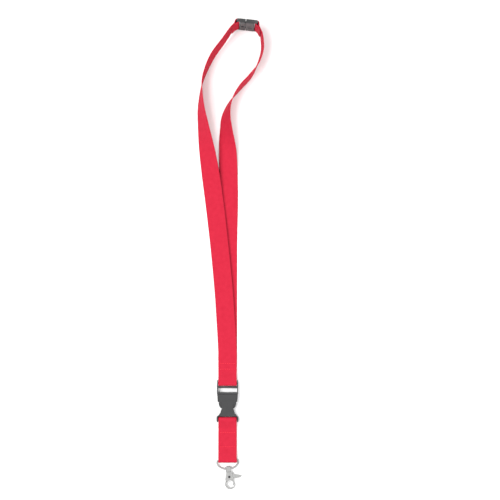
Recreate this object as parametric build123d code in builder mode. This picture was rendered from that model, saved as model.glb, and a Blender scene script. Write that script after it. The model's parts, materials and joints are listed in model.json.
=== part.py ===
from build123d import *
from math import acos, cos, degrees, radians, sin, sqrt, tan
import os

# A neck lanyard laid on a flat surface: 20 mm webbing with a breakaway clip at the neck, a side-release buckle,
# a short strap, a D-ring and a swivel trigger hook. Millimetres. X runs across, Y up the lanyard towards the
# breakaway, Z up. The origin is under the middle of the whole lanyard, on the surface it lies on.

os.makedirs("parts", exist_ok=True)

# ---- webbing -------------------------------------------------------------------------------------------------
strap_width = 20.0
strap_thickness = 1.0
layer_gap = 0.3          # between two layers of webbing that lie on each other
fold_gap = 0.3           # between a bar and the webbing folded round it
side_gap = 0.3           # between the webbing's edge and a rail, on each side
ring_fold_gap = 0.4      # between the ring's bar and the webbing folded round it
strap_joint_gap = 1.2    # where the right leg meets its sewn end, which leaves with the breakaway's plug

# ---- side-release buckle (heights are measured down from the upper bar) --------------------------------------
buckle_thickness = 7.0
frame_thickness = 4.0
rail_width = 1.2
upper_bar_radius = 1.3
rail_rise = 3.8          # the rails' ends above the upper bar
rail_tip = 0.7           # the rails taper to this
rail_taper = 6.5         # over this length
used_slot = 1.5          # below the upper bar, where the webbing passes
second_bar_width = 2.1
second_bar_thickness = 2.6
second_bar_corner = 0.95
spare_slot = 4.4
shoulder_width = 1.6     # the frame's lower bar, which the housing closes against
base_depth = 2.4         # the part of the frame inside the housing's mouth
base_thickness = 3.6
guide_width = 4.0
guide_length = 14.0
guide_thickness = 2.6
hub_radius = 1.2         # the prongs' round roots
hub_gap = 0.05
hub_inset = 2.0          # the roots' centres, in from the mouth's walls
prong_thickness = 3.6
prong_width = 2.0
catch_depth = 6.7        # from the root's centre down to the catch's shoulder
catch_reach = 3.0        # the shoulder, outwards from the root's centre
head_length = 7.2
catch_gap = 0.2          # between the shoulder and the housing's wall
housing_length = 30.6
housing_side = 1.2       # the housing's mouth stands out past the webbing by this, on each side
mouth_wall = 3.0         # each side wall of the mouth
cavity_gap = 0.25        # above and below the prongs
waist_in = 4.0           # the waist, in from the mouth's sides
waist_below = 18.4       # the waist and the flare, below the housing's rim
flare_below = 25.0
flare_rail = 1.5         # the two rails beside the short strap
housing_bar_radius = 1.2
housing_bar_below = 27.4
housing_slot = 2.0       # between the housing's end wall and its bar
housing_edge = 1.1
ear_corner = 1.4         # the rounded ends of the two rails beside the short strap

# ---- short strap, ring and hook ------------------------------------------------------------------------------
short_strap_length = 44.0    # between the housing's bar and the ring's bar
ring_wire_radius = 1.0
ring_side = 2.6              # the ring stands out past the webbing by this, on each side
ring_depth = 10.3            # from the bar's centre to the centre of the bend below
ring_corner = 2.5
ring_height = 2.5            # the bar's and the hook's centre above the surface
hook_skew = 6.0              # the ring and the hook lie turned by this much, degrees
hub_block_width = 7.0
hub_block_thickness = 4.8
hub_block_above = 7.9        # the ring's hub, from and to, below the ring's bar
hub_block_below = 13.0
stud_radius = 1.2
stud_head_radius = 2.0
stud_head_height = 1.1
swivel_gap = 0.06
body_thickness = 4.6
neck_width = 5.6
body_swell = 1.1             # how far the body stands out past its neck beside the pin
shoulder_below = 21.0        # where the hook's body is widest, below the ring's bar
body_width = 9.4
eye_below = 26.6             # the eye's centre, below the ring's bar
eye_outer_radius = 5.65
eye_inner_radius = 4.0
eye_thickness = 3.4
body_foot = 3.2              # above the eye's centre, where the body runs into the eye's wall
pivot_below = 18.7
pin_radius = 0.8
pin_gap = 0.05
pin_head_radius = 1.3
pin_head_height = 0.2
trigger_thickness = 2.0
trigger_slot = 2.4
trigger_hub_radius = 2.3
lever_reach = 13.3
spring_wire_radius = 0.2
spring_turns = 1.5
spring_pitch = 0.46

# ---- breakaway clip (in its own plane: along it, across the webbing, and out of its inner face) --------------
breakaway_thickness = 4.6
breakaway_lean = 12.5       # from upright, leaning outwards, degrees
breakaway_turn = 6.0         # turned clockwise, degrees
breakaway_bar_radius = 1.1
socket_block = 6.3           # from the seam to the end of the left half's body
plug_block = 9.3
strap_slot = 1.6             # between a half's body and its bar
breakaway_rail = 1.1
seam_gap = 0.3               # each side of the seam
tongue_length = 5.0
tongue_width = 14.6
tongue_thickness = 2.3
tongue_gap = 0.15
catch_hole_radius = 1.3
catch_button_radius = 1.1
catch_button_height = 0.7
catch_dimple_radius = 0.6
catch_from_seam = 2.8
notch_size = 1.3             # the small V in the upper edge at the seam
end_tab_length = 11.0        # sewn end of the webbing, from the bar's centre
tail_short = 1.5             # the folded-back tail stops this far short
left_tab_turn = 54.7         # how far each sewn end turns from the clip's own line, degrees
right_tab_turn = 60.5

# ---- how the strap lies --------------------------------------------------------------------------------------
# Each key is across, up from the upper bar, the lean of the webbing (0 flat, 90 on its edge) and how far its
# lower edge is held off the surface. The left leg lies on the right leg.
upper_layer = strap_thickness + layer_gap
fold_radius = upper_bar_radius + fold_gap + strap_thickness / 2
buckle_middle = buckle_thickness / 2
left_keys = [
    (0.0, 0.0, 0, buckle_middle + fold_radius - strap_thickness / 2),
    (0.0, 7.0, 0, 3.5),
    (0.0, 13.0, 0, 1.8),
    (-0.1, 25.0, 0, upper_layer + 0.35),
    (-0.3, 40.0, 0, upper_layer + 0.1),
    (-2.0, 69.0, 3, upper_layer - 0.15),
    (-4.2, 101.0, 6, upper_layer - 0.5),
    (-8.3, 144.0, 9, 0.0),
    (-12.5, 182.0, 8, 0.0),
    (-15.9, 209.0, 9, 0.0),
    (-20.5, 241.7, 23, 0.0),
    (-25.8, 277.0, 52, 0.0),
    (-28.4, 299.0, 69, 0.0),
    (-27.7, 322.0, 87, 0.0),
    (-23.3, 338.0, 96, 0.1),
    (-15.5, 354.4, 100, 0.8),
    (-3.5, 370.6, 99, 2.2),
]
right_keys = [
    (0.0, 0.0, 0, buckle_middle - fold_radius - strap_thickness / 2),
    (0.0, 13.0, 0, 0.35),
    (0.2, 26.0, 0, 0.05),
    (0.3, 60.0, 0, 0.0),
    (0.4, 144.0, 0, 0.0),
    (1.3, 198.0, 0, 0.0),
    (1.0, 226.0, 2, 0.0),
    (0.4, 248.5, 15, 0.0),
    (-1.2, 273.0, 46, 0.0),
    (-1.4, 288.0, 61, 0.0),
    (2.9, 303.8, 81, 0.0),
    (13.2, 319.0, 96, 0.0),
    (24.8, 332.0, 96, 0.0),
    (33.0, 345.4, 85, 0.2),
    (37.5, 360.0, 83, 0.9),
]
seam_across = 19.6
seam_up = 386.9
steps_per_key = 2


# ---- where things are ----------------------------------------------------------------------------------------
inner_width = strap_width + 2 * side_gap
housing_width = strap_width + 2 * housing_side
mouth_half_width = housing_width / 2 - mouth_wall
hub_offset = mouth_half_width - hub_inset
waist_width = housing_width - 2 * waist_in
flare_width = inner_width + 2 * flare_rail
ring_width = strap_width + 2 * ring_side
breakaway_width = inner_width + 2 * breakaway_rail

second_bar_top = -upper_bar_radius - used_slot
second_bar_bottom = second_bar_top - second_bar_width
shoulder_top = second_bar_bottom - spare_slot
rim = shoulder_top - shoulder_width
housing_bar = rim - housing_bar_below
ring_bar = housing_bar - short_strap_length
hook_tip = ring_bar - eye_below * cos(radians(hook_skew)) - eye_outer_radius

lean = radians(breakaway_lean)
turn = radians(breakaway_turn)
clip_along = Vector(cos(turn), -sin(turn), 0)
clip_across = Vector(sin(turn) * sin(lean), cos(turn) * sin(lean), cos(lean))
clip_out = clip_along.cross(clip_across)
socket_end = socket_block + strap_slot + 2 * breakaway_bar_radius
clip_height = breakaway_width / 2 * cos(lean) + breakaway_thickness / 2 * sin(lean)
clip_reach_up = breakaway_width / 2 * clip_across.Y - breakaway_thickness / 2 * clip_out.Y
clip_top = seam_up + socket_end * sin(turn) + clip_reach_up
bar_y = -(clip_top + hook_tip) / 2


def spread(keys, steps):
    # smooth places between the keys (Catmull-Rom)
    places = []
    for i in range(len(keys) - 1):
        before = keys[max(i - 1, 0)]
        start, end = keys[i], keys[i + 1]
        after = keys[min(i + 2, len(keys) - 1)]
        for step in range(steps):
            s = step / steps
            places.append(tuple(
                b + 0.5 * s * (c - a + s * (2 * a - 5 * b + 4 * c - d + s * (3 * b - a - 3 * c + d)))
                for a, b, c, d in zip(before, start, end, after)
            ))
    return places + [keys[-1]]


def lie(place):
    # the middle of the webbing, with its lower edge at its height above the surface
    across, up, tilt, lift = place
    rise = strap_width / 2 * abs(sin(radians(tilt))) + strap_thickness / 2 * abs(cos(radians(tilt)))
    return Vector(across, up, lift + rise)


def sections(keys):
    # the webbing's middle, its line and its width direction at each place along a leg
    places = spread(keys, steps_per_key)
    middles = [lie(place) for place in places]
    found = []
    for i, place in enumerate(places):
        line = (middles[min(i + 1, len(places) - 1)] - middles[max(i - 1, 0)]).normalized()
        side = Vector(line.Y, -line.X, 0).normalized()
        width = side * cos(radians(place[2])) + Vector(0, 0, sin(radians(place[2])))
        width = (width - line * width.dot(line)).normalized()
        found.append((middles[i], line, width))
    # the first one meets the fold round the upper bar squarely
    found[0] = (middles[0], Vector(0, 1, 0), Vector(1, 0, 0))
    return found


def end_key(middle, line):
    # the key at a sewn end, from where the clip holds it
    side = Vector(-line.Y, line.X, 0).normalized()
    tilt = degrees(acos(clip_across.dot(side)))
    rise = strap_width / 2 * sin(radians(tilt)) + strap_thickness / 2 * abs(cos(radians(tilt)))
    return (middle.X, middle.Y, tilt, middle.Z - rise)


seam_centre = Vector(seam_across, seam_up, clip_height)
left_bar = seam_centre - clip_along * (socket_block + strap_slot + breakaway_bar_radius)
right_bar = seam_centre + clip_along * (plug_block + strap_slot + breakaway_bar_radius)
left_line = clip_out * sin(radians(left_tab_turn)) - clip_along * cos(radians(left_tab_turn))
right_line = clip_out * sin(radians(right_tab_turn)) + clip_along * cos(radians(right_tab_turn))
sewn_gap = 0.1               # between a sewn end's two layers
tab_step = (strap_thickness + sewn_gap) / 2
left_outer = left_line.cross(clip_across) * tab_step
right_outer = clip_across.cross(right_line) * tab_step
left_end = left_bar + left_line * end_tab_length + left_outer
right_end = right_bar + right_line * (end_tab_length + strap_joint_gap) + right_outer
left_sections = sections(left_keys + [end_key(left_end, left_line)])
left_sections[-1] = (left_end, -left_line, clip_across)
right_sections = sections(right_keys + [end_key(right_end, right_line)])
right_sections[-1] = (right_end, -right_line, clip_across)


def reach_across(middle, line, width):
    # how far the webbing's section reaches across from its middle
    normal = line.cross(width)
    return strap_width / 2 * abs(width.X) + strap_thickness / 2 * abs(normal.X)


loop_left = min(m.X - reach_across(m, t, w) for m, t, w in left_sections)
loop_right = max(m.X + reach_across(m, t, w) for m, t, w in right_sections)
axis_x = -(loop_left + loop_right) / 2
shift = Vector(axis_x, bar_y, 0)

buckle_plane = Plane(origin=(axis_x, bar_y, buckle_middle))
hook_plane = Plane(
    origin=(axis_x, bar_y + ring_bar, ring_height),
    x_dir=(cos(radians(hook_skew)), sin(radians(hook_skew)), 0),
    z_dir=(0, 0, 1),
)
clip_plane = Plane(origin=seam_centre + shift, x_dir=clip_along, z_dir=clip_out)


def across_plane(plane, x, y, z=0):
    # a plane that looks along the given plane's X, with its own X along the given Y and its own Y along Z
    return Plane(origin=plane.from_local_coords(Vector(x, y, z)), x_dir=plane.y_dir, z_dir=plane.x_dir)


def save(part, name):
    part.label = name
    export_step(part, f"parts/{name}.step")


# ==== neck strap ==============================================================================================
with BuildPart() as neck_strap_left:
    for middle, line, width in left_sections:
        with BuildSketch(Plane(origin=middle + shift, x_dir=width, z_dir=line)):
            Rectangle(strap_width, strap_thickness)
    loft(ruled=True)
save(neck_strap_left.part, "neck_strap_left")

with BuildPart() as neck_strap_right:
    for middle, line, width in right_sections:
        with BuildSketch(Plane(origin=middle + shift, x_dir=width, z_dir=line)):
            Rectangle(strap_width, strap_thickness)
    loft(ruled=True)
save(neck_strap_right.part, "neck_strap_right")

# the same webbing where it passes round the buckle's upper bar
with BuildPart() as neck_strap_fold:
    with BuildSketch(across_plane(buckle_plane, 0, 0)):
        Circle(fold_radius + strap_thickness / 2)
        Circle(fold_radius - strap_thickness / 2, mode=Mode.SUBTRACT)
        with Locations((fold_radius, 0)):
            Rectangle(2 * fold_radius, 3 * fold_radius, mode=Mode.SUBTRACT)
    extrude(amount=strap_width / 2, both=True)
save(neck_strap_fold.part, "neck_strap_fold")


def sewn_end(bar, line, outer_side):
    # webbing folded round a bar of the clip: the outer layer runs on as the strap, the tail is sewn behind it
    turn_radius = breakaway_bar_radius + fold_gap + strap_thickness / 2
    merge = 4 * breakaway_bar_radius
    with BuildPart() as end:
        with BuildLine(Plane(origin=bar + shift, x_dir=line, z_dir=clip_across)) as route:
            FilletPolyline(
                (end_tab_length, outer_side * tab_step),
                (merge, outer_side * tab_step),
                (0.8, outer_side * turn_radius),
                (-turn_radius, outer_side * turn_radius),
                (-turn_radius, -outer_side * turn_radius),
                (0.8, -outer_side * turn_radius),
                (merge, -outer_side * tab_step),
                (end_tab_length - tail_short, -outer_side * tab_step),
                radius=[3, 1.5, turn_radius * 0.95, turn_radius * 0.95, 1.5, 3],
            )
        with BuildSketch(Plane(origin=route.line @ 0, x_dir=clip_across, z_dir=route.line % 0)):
            Rectangle(strap_width, strap_thickness)
        sweep()
    return end.part


save(sewn_end(left_bar, left_line, -1), "strap_end_left")
save(sewn_end(right_bar, right_line, 1), "strap_end_right")


# ==== stitching ===============================================================================================
stitch_length = 1.5
stitch_thickness = 0.25
stitch_pitch = 2.4
stitch_rise = 0.02


def stitch_rows(plane, rows, count):
    # rows of short stitches that stand just off the webbing: plane lies on it, rows give each row's place
    with BuildPart() as stitches:
        with BuildSketch(plane.offset(stitch_rise)):
            for row in rows:
                with Locations((0, row)):
                    with GridLocations(stitch_pitch, 1, count, 1):
                        Rectangle(stitch_length, stitch_thickness * 1.6)
        extrude(amount=stitch_thickness)
    return stitches.part


tack_up = 18.5
tack_height = max(
    m.Z + strap_thickness / 2 for m, t, w in left_sections if abs(m.Y - tack_up) < 7
)
save(
    stitch_rows(Plane(origin=(axis_x, bar_y + tack_up, tack_height)), [-3, 3], 7),
    "neck_stitching",
)


def tab_stitch_plane(bar, line, outer_side):
    # on the outer face of a sewn end, X up the webbing's width
    outer = clip_across.cross(line) * outer_side
    place = bar + line * (end_tab_length - 3.3) + outer * (tab_step + strap_thickness / 2)
    return Plane(origin=place + shift, x_dir=clip_across, z_dir=outer)


save(stitch_rows(tab_stitch_plane(left_bar, left_line, -1), [-1.2, 1.2], 7), "end_stitching_left")
save(stitch_rows(tab_stitch_plane(right_bar, right_line, 1), [-1.2, 1.2], 7), "end_stitching_right")


# ==== breakaway clip ==========================================================================================
half_clip = breakaway_thickness / 2


def clip_half(direction, block):
    # one half's body with its two rails and the bar that holds the webbing
    bar_at = block + strap_slot + breakaway_bar_radius
    with BuildPart() as half:
        with BuildSketch(clip_plane.offset(-half_clip)):
            with Locations((direction * (seam_gap + block) / 2, 0)):
                Rectangle(block - seam_gap, breakaway_width)
        extrude(amount=breakaway_thickness)
        long_edges = half.edges().filter_by(lambda e: abs((e % 0.5).dot(clip_along)) > 0.99)
        fillet(long_edges, 0.8)
        with BuildSketch(clip_plane.offset(-half_clip + 0.4)):
            with Locations((direction * (block + bar_at) / 2, 0)):
                Rectangle(bar_at - block, inner_width + 2 * breakaway_rail)
                Rectangle(bar_at - block, inner_width, mode=Mode.SUBTRACT)
        extrude(amount=breakaway_thickness - 0.8)
        bar_plane = Plane(origin=clip_plane.from_local_coords(Vector(direction * bar_at, 0, 0)),
                          x_dir=clip_along, z_dir=clip_across)
        with BuildSketch(bar_plane):
            Circle(breakaway_bar_radius)
        extrude(amount=inner_width / 2 + breakaway_rail, both=True)
        # the small V in the upper edge at the seam
        with BuildSketch(clip_plane.offset(-half_clip)):
            with BuildLine():
                Polyline(
                    (0, breakaway_width / 2 + 0.1),
                    (direction * (notch_size + seam_gap), breakaway_width / 2 + 0.1),
                    (0, breakaway_width / 2 - notch_size),
                    close=True,
                )
            make_face()
        extrude(amount=breakaway_thickness, mode=Mode.SUBTRACT)
    return half.part


socket_body = clip_half(-1, socket_block)
plug_body = clip_half(1, plug_block)

with BuildPart() as breakaway_socket:
    add(socket_body)
    # the pocket for the tongue, open at the seam
    with BuildSketch(clip_plane.offset(-tongue_thickness / 2 - tongue_gap)):
        with Locations((-(tongue_length + 0.2) / 2, 0)):
            Rectangle(tongue_length + 0.2, tongue_width + 2 * tongue_gap)
    extrude(amount=tongue_thickness + 2 * tongue_gap, mode=Mode.SUBTRACT)
    # the round hole that the catch's button snaps into
    with BuildSketch(clip_plane):
        with Locations((-catch_from_seam, 0)):
            Circle(catch_hole_radius)
    extrude(amount=half_clip, mode=Mode.SUBTRACT)
    # the shallow dish round the hole
    with BuildSketch(clip_plane.offset(half_clip - 0.3)):
        with Locations((-catch_from_seam, 0)):
            Circle(catch_hole_radius + 0.9)
    extrude(amount=0.3, mode=Mode.SUBTRACT)
save(breakaway_socket.part, "breakaway_socket")

finger_half_width = 1.8
with BuildPart() as breakaway_plug:
    add(plug_body)
    with BuildSketch(clip_plane.offset(-tongue_thickness / 2)):
        with Locations(((seam_gap + 0.5 - tongue_length) / 2, 0)):
            Rectangle(tongue_length + seam_gap + 0.5, tongue_width)
    extrude(amount=tongue_thickness)
    # room for the springy finger
    with BuildSketch(clip_plane.offset(-tongue_thickness / 2)):
        with Locations((-tongue_length / 2, 0)):
            Rectangle(tongue_length, 2 * finger_half_width + 0.6)
    extrude(amount=tongue_thickness, mode=Mode.SUBTRACT)
    # the shallow panel pressed into the face
    with BuildSketch(clip_plane.offset(half_clip - 0.25)):
        with Locations((plug_block / 2, 0)):
            RectangleRounded(plug_block * 0.5, 7, 0.8)
    extrude(amount=0.25, mode=Mode.SUBTRACT)
save(breakaway_plug.part, "breakaway_plug")

with BuildPart() as breakaway_catch:
    with BuildSketch(clip_plane.offset(0.1)):
        with Locations((-(tongue_length - 0.2) / 2, 0)):
            Rectangle(tongue_length - 0.2, 2 * finger_half_width)
    extrude(amount=tongue_thickness / 2 - 0.1)
    with BuildSketch(clip_plane.offset(tongue_thickness / 2)):
        with Locations((-catch_from_seam, 0)):
            Circle(catch_button_radius)
    extrude(amount=catch_button_height, taper=12)
    with BuildSketch(clip_plane.offset(tongue_thickness / 2)):
        with Locations((-catch_from_seam, 0)):
            Circle(catch_dimple_radius)
    extrude(amount=catch_button_height, mode=Mode.SUBTRACT)
save(breakaway_catch.part, "breakaway_catch")


# ==== side-release buckle: frame ==============================================================================
frame_width = inner_width + 2 * rail_width
base_bottom = rim - base_depth
hub_down = base_bottom + 0.45       # the roots' centres, held past their middle in the base

with BuildPart() as buckle_frame:
    with BuildSketch(buckle_plane.offset(-frame_thickness / 2)) as frame_outline:
        with BuildLine():
            Polyline(
                (-frame_width / 2, rim),
                (-frame_width / 2, rail_rise - rail_taper),
                (-inner_width / 2 - rail_tip, rail_rise),
                (inner_width / 2 + rail_tip, rail_rise),
                (frame_width / 2, rail_rise - rail_taper),
                (frame_width / 2, rim),
                close=True,
            )
        make_face()
        with Locations((0, (rail_rise + shoulder_top) / 2)):
            Rectangle(inner_width, rail_rise - shoulder_top, mode=Mode.SUBTRACT)
        fillet(frame_outline.vertices().group_by(Axis.Y)[-1], rail_tip * 0.45)
    extrude(amount=frame_thickness)
    with BuildSketch(across_plane(buckle_plane, 0, 0)):
        Circle(upper_bar_radius)
    extrude(amount=inner_width / 2 + rail_width / 2, both=True)
    with BuildSketch(across_plane(buckle_plane, 0, (second_bar_top + second_bar_bottom) / 2)):
        RectangleRounded(second_bar_width, second_bar_thickness, second_bar_corner)
    extrude(amount=inner_width / 2 + rail_width / 2, both=True)
    # the base inside the housing's mouth
    with BuildSketch(buckle_plane.offset(-base_thickness / 2)):
        with Locations((0, rim - base_depth / 2)):
            Rectangle(2 * (mouth_half_width - 0.3), base_depth)
        with Locations((-hub_offset, hub_down), (hub_offset, hub_down)):
            Circle(hub_radius + hub_gap, mode=Mode.SUBTRACT)
    extrude(amount=base_thickness)
    # the guide tongue between the prongs
    with BuildSketch(buckle_plane.offset(-guide_thickness / 2)) as guide:
        with Locations((0, base_bottom - guide_length / 2 + 0.5)):
            Rectangle(guide_width, guide_length + 1)
        fillet(guide.vertices().group_by(Axis.Y)[0], 1.2)
    extrude(amount=guide_thickness)
save(buckle_frame.part, "buckle_frame")

# ==== side-release buckle: prongs =============================================================================
shoulder_down = hub_down - catch_depth
head_bottom = shoulder_down - head_length


def prong(side):
    # a springy arm with its round root and its catch, whose side is pressed through the housing's window
    hub_x = side * hub_offset
    with BuildPart() as arm:
        with BuildSketch(buckle_plane.offset(-prong_thickness / 2)):
            with Locations((hub_x, hub_down)):
                Circle(hub_radius)
            with BuildLine():
                inner_top = (hub_x - side * prong_width / 2, hub_down)
                inner_low = (hub_x - side * 0.8, shoulder_down - head_length * 0.7)
                tip = (hub_x + side * 0.7, head_bottom)
                shoulder_out = (hub_x + side * catch_reach, shoulder_down)
                shoulder_in = (hub_x + side * (prong_width / 2 + 0.5), shoulder_down)
                outer_top = (hub_x + side * prong_width / 2, hub_down)
                Line(inner_top, inner_low)
                ThreePointArc(inner_low, (hub_x - side * 0.4, head_bottom + 0.7), tip)
                ThreePointArc(tip, (hub_x + side * (catch_reach + 0.05), shoulder_down - head_length * 0.4),
                              shoulder_out)
                Line(shoulder_out, shoulder_in)
                Line(shoulder_in, outer_top)
                Line(outer_top, inner_top)
            make_face()
        extrude(amount=prong_thickness)
    return arm.part


save(prong(-1), "buckle_prong_left")
save(prong(1), "buckle_prong_right")

# ==== side-release buckle: housing ============================================================================
window_top = shoulder_down + catch_gap
window_bottom = head_bottom - 0.6
waist = rim - waist_below
flare = rim - flare_below
housing_end = rim - housing_length
end_wall = housing_bar + housing_bar_radius + housing_slot

with BuildPart() as buckle_housing:
    with BuildSketch(buckle_plane.offset(-buckle_thickness / 2)) as housing_outline:
        with BuildLine():
            for side in (-1, 1):
                rim_corner = (side * housing_width / 2, rim)
                window_corner = (side * (housing_width / 2 - 0.6), window_top)
                waist_corner = (side * waist_width / 2, waist)
                bite = (side * (waist_width / 2 - 1.1), (window_top + waist) / 2)
                flare_corner = (side * flare_width / 2, flare)
                flare_middle = (side * (waist_width + flare_width) / 4 - side * 1.0, (waist + flare) / 2 - 0.3)
                Line(rim_corner, window_corner)
                ThreePointArc(window_corner, bite, waist_corner)
                ThreePointArc(waist_corner, flare_middle, flare_corner)
                Line(flare_corner, (side * flare_width / 2, housing_end))
            Line((-housing_width / 2, rim), (housing_width / 2, rim))
            Line((-flare_width / 2, housing_end), (flare_width / 2, housing_end))
        make_face()
        fillet(housing_outline.vertices().group_by(Axis.Y)[0], ear_corner)
    extrude(amount=buckle_thickness)
    rim_edges = buckle_housing.faces().filter_by(Axis.Z).edges()
    chamfer(rim_edges, housing_edge * 0.6)
    # the strap end: two rails with the bar between them
    with BuildSketch(buckle_plane.offset(-buckle_thickness / 2)):
        with Locations((0, (end_wall + housing_end) / 2)):
            Rectangle(inner_width, end_wall - housing_end)
    extrude(amount=buckle_thickness, mode=Mode.SUBTRACT)
    with BuildSketch(across_plane(buckle_plane, 0, housing_bar)):
        Circle(housing_bar_radius)
    extrude(amount=inner_width / 2 + 0.6, both=True)
    # the mouth and the space for the prongs and the guide
    cavity_height = prong_thickness + 2 * cavity_gap
    with BuildSketch(buckle_plane.offset(-cavity_height / 2)):
        with Locations((0, (rim + window_bottom) / 2)):
            Rectangle(2 * mouth_half_width, rim - window_bottom)
        with Locations((0, (window_top + window_bottom) / 2)):
            Rectangle(housing_width + 2, window_top - window_bottom)
    extrude(amount=cavity_height, mode=Mode.SUBTRACT)
save(buckle_housing.part, "buckle_housing")

# ==== short strap =============================================================================================
ring_play = (strap_width / 2 + 1) * tan(radians(hook_skew))    # the ring's bar lies askew in the fold
upper_turn = housing_bar_radius + fold_gap + strap_thickness / 2
lower_turn = ring_wire_radius + ring_fold_gap + strap_thickness / 2
resting = strap_thickness / 2 + sewn_gap / 2
stacked = resting + strap_thickness + layer_gap
strap_bottom = ring_bar - ring_play - lower_turn

with BuildPart() as short_strap:
    with BuildSketch(across_plane(Plane(origin=(axis_x, bar_y, 0)), 0, 0)):
        with BuildLine() as short_route:
            FilletPolyline(
                (housing_bar + upper_turn, buckle_middle + upper_turn),
                (housing_bar - 1.5, buckle_middle + upper_turn),
                (housing_bar - 10, stacked),
                (ring_bar + 11, stacked),
                (ring_bar + ring_play + 1.5, ring_height + lower_turn),
                (strap_bottom, ring_height + lower_turn),
                (strap_bottom, ring_height - lower_turn),
                (ring_bar + ring_play + 1.5, ring_height - lower_turn),
                (ring_bar + 11, resting),
                (housing_bar - 10, resting),
                (housing_bar - 1.5, buckle_middle - upper_turn),
                (housing_bar + upper_turn, buckle_middle - upper_turn),
                radius=[upper_turn * 0.95, 3, 8, 8, 3, lower_turn * 0.95, lower_turn * 0.95, 3, 8, 8, 3,
                        upper_turn * 0.95],
                close=True,
            )
        make_face()
        offset(amount=strap_thickness / 2, kind=Kind.ARC)
    extrude(amount=strap_width / 2, both=True)
    with BuildSketch(across_plane(Plane(origin=(axis_x, bar_y, 0)), 0, 0)):
        make_face(short_route.line.edges())
        offset(amount=-strap_thickness / 2, kind=Kind.ARC, mode=Mode.REPLACE)
    extrude(amount=strap_width / 2, both=True, mode=Mode.SUBTRACT)
save(short_strap.part, "short_strap")

save(
    stitch_rows(
        Plane(origin=(axis_x, bar_y + (housing_bar + ring_bar) / 2, stacked + strap_thickness / 2)), [-8, 8], 7
    ),
    "short_strap_stitching",
)

# ==== ring ====================================================================================================
ring_half = ring_width / 2 - ring_wire_radius

with BuildPart() as hook_ring:
    with BuildLine(hook_plane) as ring_line:
        Line((-ring_half + ring_corner, 0), (ring_half - ring_corner, 0))
        RadiusArc((ring_half - ring_corner, 0), (ring_half, -ring_corner), ring_corner)
        EllipticalCenterArc(
            (0, -ring_corner), ring_half, ring_depth - ring_corner, start_angle=180, arc_size=180
        )
        RadiusArc((-ring_half, -ring_corner), (-ring_half + ring_corner, 0), ring_corner)
    with BuildSketch(Plane(origin=hook_plane.from_local_coords(Vector(0, 0, 0)),
                           x_dir=hook_plane.y_dir, z_dir=hook_plane.x_dir)):
        Circle(ring_wire_radius)
    sweep(path=ring_line.line)
    # the hub that the stud turns in
    hub_start = Plane(origin=hook_plane.from_local_coords(Vector(0, -hub_block_above, 0)),
                      x_dir=hook_plane.x_dir, z_dir=-hook_plane.y_dir)
    with BuildSketch(hub_start):
        SlotOverall(hub_block_width, hub_block_thickness)
    extrude(amount=hub_block_below - hub_block_above)
    with BuildSketch(hub_start):
        Circle(stud_radius + swivel_gap)
    extrude(amount=hub_block_below - hub_block_above, mode=Mode.SUBTRACT)
save(hook_ring.part, "hook_ring")


def down_plane(below):
    # a plane across the hook's own line, looking towards its tip
    return Plane(origin=hook_plane.from_local_coords(Vector(0, -below, 0)), x_dir=hook_plane.x_dir,
                 z_dir=-hook_plane.y_dir)


stud_seat = 2.2              # the stud's shank, sunk in the hook's neck
body_top = hub_block_below + 2 * swivel_gap

with BuildPart() as swivel_stud:
    with BuildSketch(down_plane(hub_block_above - swivel_gap - stud_head_height)):
        Circle(stud_head_radius)
    extrude(amount=stud_head_height)
    fillet(swivel_stud.edges().filter_by(GeomType.CIRCLE).sort_by(Axis.Y)[-1], 0.5)
    with BuildSketch(down_plane(hub_block_above - swivel_gap)):
        Circle(stud_radius)
    extrude(amount=body_top + stud_seat - hub_block_above + swivel_gap)
save(swivel_stud.part, "swivel_stud")

# ==== hook ====================================================================================================
slot_back = -2.6             # the slot for the trigger is open to the right of this
slot_top = body_top + stud_seat + 0.4
eye_top = eye_below - eye_inner_radius
foot_half_width = sqrt(eye_outer_radius ** 2 - body_foot ** 2)
claw_tip = -14.0             # the claw's end, degrees round the eye from the right
lap_end = -46.0              # the thinner stretch that the gate rests inside
lap_radius = 4.75
far = 2 * eye_outer_radius       # well outside the eye

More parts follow.
